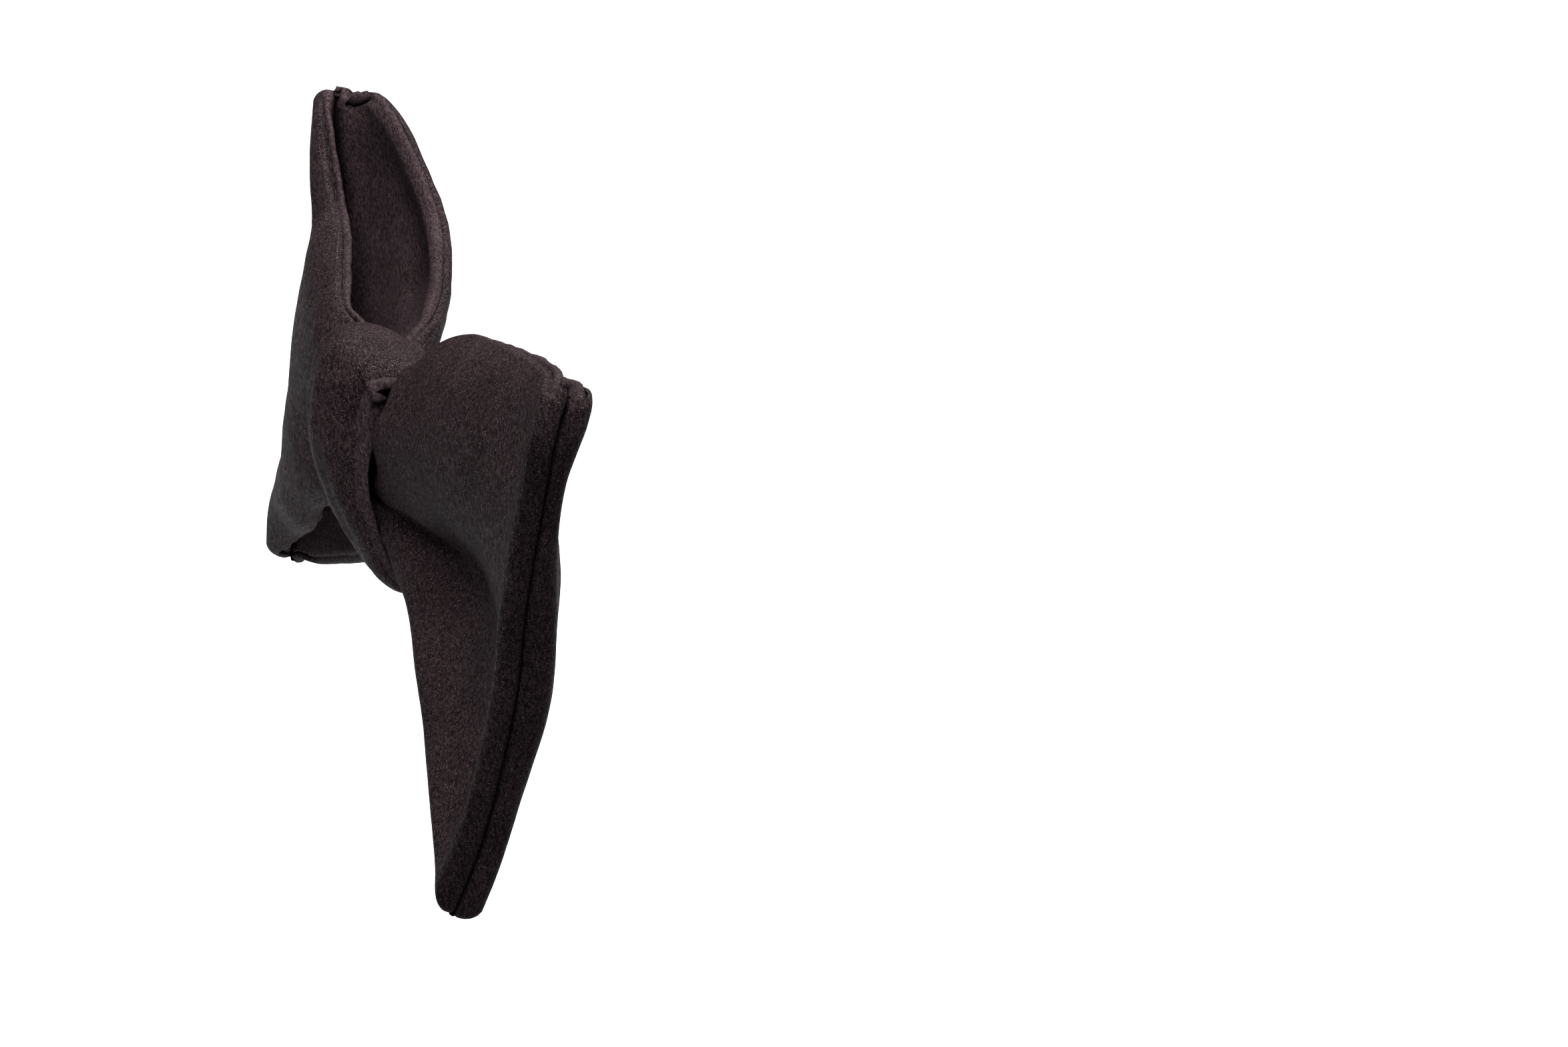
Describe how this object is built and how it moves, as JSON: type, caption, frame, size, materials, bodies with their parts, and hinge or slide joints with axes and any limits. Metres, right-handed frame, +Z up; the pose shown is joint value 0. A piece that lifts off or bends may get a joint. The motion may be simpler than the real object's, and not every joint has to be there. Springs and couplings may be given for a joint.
{
  "type": "clip-on bow tie",
  "caption": "Ready-tied butterfly bow tie in padded black satin with a wrapped knot, on a sprung steel clip whose jaws grip the collar.",
  "frame": {"origin": "middle of the clip base plate's collar face, which bears on the front of the collar", "axes": "+X towards the wearer's left along the bow's width, +Y from the bow towards the wearer, +Z up"},
  "size_m": [0.1124, 0.0261, 0.0624],
  "materials": {
    "satin": "black polyester satin with a fine diagonal weave and a soft sheen",
    "wadding": "needled polyester wadding",
    "thread": "black spun polyester sewing thread",
    "plated_steel": "nickel-plated stamped steel",
    "pin_steel": "polished steel pin with riveted heads",
    "spring_wire": "hard-drawn spring wire"
  },
  "bodies": {
    "bow": {"front_outer_panel": "satin", "front_wadding": "wadding", "front_inner_panel": "satin", "back_inner_panel": "satin", "back_wadding": "wadding", "back_outer_panel": "satin", "front_ply_thread": "thread", "back_ply_thread": "thread", "left_end_seam": "thread", "right_end_seam": "thread", "binding_thread": "thread", "knot_under_wrap": "satin", "knot_interlining": "wadding", "knot_band": "satin", "knot_closing_stitches": "thread", "clip_base": "plated_steel", "clip_base_stitches": "thread", "left_hinge_pin": "pin_steel", "right_hinge_pin": "pin_steel", "left_spring": "spring_wire", "right_spring": "spring_wire"},
    "left_jaw": {"left_jaw": "plated_steel"},
    "right_jaw": {"right_jaw": "plated_steel"}
  },
  "joints": [
    {"name": "left_jaw_hinge", "type": "hinge", "parent": "bow", "child": "left_jaw", "pos_m": [0.014, 0.0027, 0], "axis": [0, 0, 1], "range_deg": [0, 30], "stiffness_Nm_per_rad": 0.05, "springref_deg": -34.38, "deforming": ["left_spring"]},
    {"name": "right_jaw_hinge", "type": "hinge", "parent": "bow", "child": "right_jaw", "pos_m": [-0.014, 0.0027, 0], "axis": [0, 0, -1], "range_deg": [0, 30], "stiffness_Nm_per_rad": 0.05, "springref_deg": -34.38, "deforming": ["right_spring"]}
  ]
}
